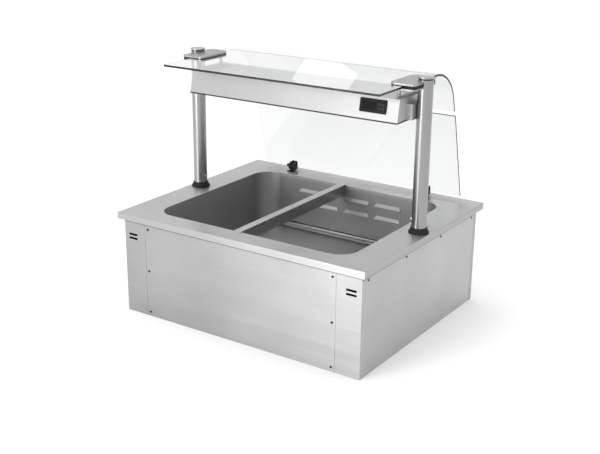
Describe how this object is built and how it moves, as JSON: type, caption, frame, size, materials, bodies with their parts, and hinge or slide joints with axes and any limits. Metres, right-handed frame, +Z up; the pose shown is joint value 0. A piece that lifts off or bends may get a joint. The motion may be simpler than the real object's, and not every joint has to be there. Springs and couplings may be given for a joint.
{
  "type": "drop-in food well",
  "caption": "Drop-in refrigerated food well in a stainless counter, with a lift-out divider, a lit gantry on posts, a curved glass shelf and a tilting rear glass screen.",
  "frame": {"origin": "under the middle of the counter top, at the level of the base", "axes": "+X to the operator's right along the front, +Y from the operator to the customer, +Z up"},
  "size_m": [0.85, 0.712, 0.756],
  "materials": {
    "brushed_steel": "brushed along its length",
    "well_steel": "dull satin, pressed",
    "polished_steel": "fine satin, almost bright",
    "galvanised": "zinc coated",
    "screw_steel": "bright",
    "black_metal": "satin black",
    "dark_trim": "satin",
    "black_plastic": "fine grain",
    "key_plastic": "satin",
    "grey_plastic": "fine grain",
    "display": "gloss",
    "black_rubber": "matt",
    "clear_glass": "clear, green at the edges",
    "diffuser": "opal",
    "foam": "cellular",
    "aluminium": "mill",
    "brass": "turned"
  },
  "bodies": {
    "counter": {"counter_top": "brushed_steel", "well_liner": "well_steel", "rear_air_panel": "well_steel", "air_return_sill": "well_steel", "well_insulation": "foam", "drain_fitting": "well_steel", "drain_nut": "brass", "front_panel": "brushed_steel", "left_front_strip": "brushed_steel", "right_front_strip": "brushed_steel", "left_side_panel": "brushed_steel", "right_side_panel": "brushed_steel", "rear_panel": "brushed_steel", "base_plate": "galvanised", "front_panel_screws": "screw_steel", "side_panel_screws": "screw_steel", "side_rails": "galvanised", "cable_gland": "black_plastic", "terminal_box": "grey_plastic", "left_post": "polished_steel", "right_post": "polished_steel", "post_collars": "black_rubber", "post_caps": "polished_steel", "post_feet": "galvanised", "post_backing_plates": "galvanised", "post_nuts": "screw_steel", "post_screws": "screw_steel", "left_clamp_plate": "polished_steel", "right_clamp_plate": "polished_steel", "glass_gaskets": "black_rubber", "lower_clamp_plates": "polished_steel", "clamp_spacers": "polished_steel", "clamp_bolts": "screw_steel", "curved_glass": "clear_glass", "hinge_bases": "black_metal", "hinge_pins": "black_metal", "gantry_housing": "brushed_steel", "left_gantry_end": "brushed_steel", "right_gantry_end": "brushed_steel", "gantry_brackets": "brushed_steel", "gantry_under_frame": "dark_trim", "light_diffuser": "diffuser", "led_strip": "diffuser", "controller_bezel": "black_plastic", "display_window": "display", "controller_body": "black_plastic", "evaporator_coil": "aluminium", "fan_plate": "black_plastic"},
    "rear_screen": {"rear_glass": "clear_glass", "left_hinge_jaw": "black_metal", "right_hinge_jaw": "black_metal", "glass_shoes": "black_rubber"},
    "divider": {"divider_bar": "brushed_steel"},
    "strainer": {"drain_strainer": "well_steel"},
    "up_key": {"up_button": "key_plastic"},
    "down_key": {"down_button": "key_plastic"},
    "set_key": {"set_button": "key_plastic"},
    "power_key": {"power_button": "key_plastic"},
    "left_fan": {"left_fan_rotor": "black_plastic"},
    "right_fan": {"right_fan_rotor": "black_plastic"}
  },
  "joints": [
    {"name": "rear_glass_hinge", "type": "hinge", "parent": "counter", "child": "rear_screen", "pos_m": [0, 0.31575, 0.3305], "axis": [-1, 0, 0], "range_deg": [0, 80]},
    {"name": "divider_lift", "type": "slide", "parent": "counter", "child": "divider", "axis": [0, 0, 1], "range_m": [0, 0.15]},
    {"name": "strainer_lift", "type": "slide", "parent": "counter", "child": "strainer", "axis": [0, 0, 1], "range_m": [0, 0.05]},
    {"name": "up_press", "type": "slide", "parent": "counter", "child": "up_key", "axis": [0, 0.9836, -0.1802], "range_m": [0, 0.001], "stiffness_N_per_m": 400, "springref_m": -0.001},
    {"name": "down_press", "type": "slide", "parent": "counter", "child": "down_key", "axis": [0, 0.9836, -0.1802], "range_m": [0, 0.001], "stiffness_N_per_m": 400, "springref_m": -0.001},
    {"name": "set_press", "type": "slide", "parent": "counter", "child": "set_key", "axis": [0, 0.9836, -0.1802], "range_m": [0, 0.001], "stiffness_N_per_m": 400, "springref_m": -0.001},
    {"name": "power_press", "type": "slide", "parent": "counter", "child": "power_key", "axis": [0, 0.9836, -0.1802], "range_m": [0, 0.001], "stiffness_N_per_m": 400, "springref_m": -0.001},
    {"name": "left_fan_spin", "type": "hinge", "parent": "counter", "child": "left_fan", "pos_m": [-0.13, 0.305, 0.2], "axis": [0, 0, 1], "continuous": true},
    {"name": "right_fan_spin", "type": "hinge", "parent": "counter", "child": "right_fan", "pos_m": [0.13, 0.305, 0.2], "axis": [0, 0, 1], "continuous": true}
  ]
}
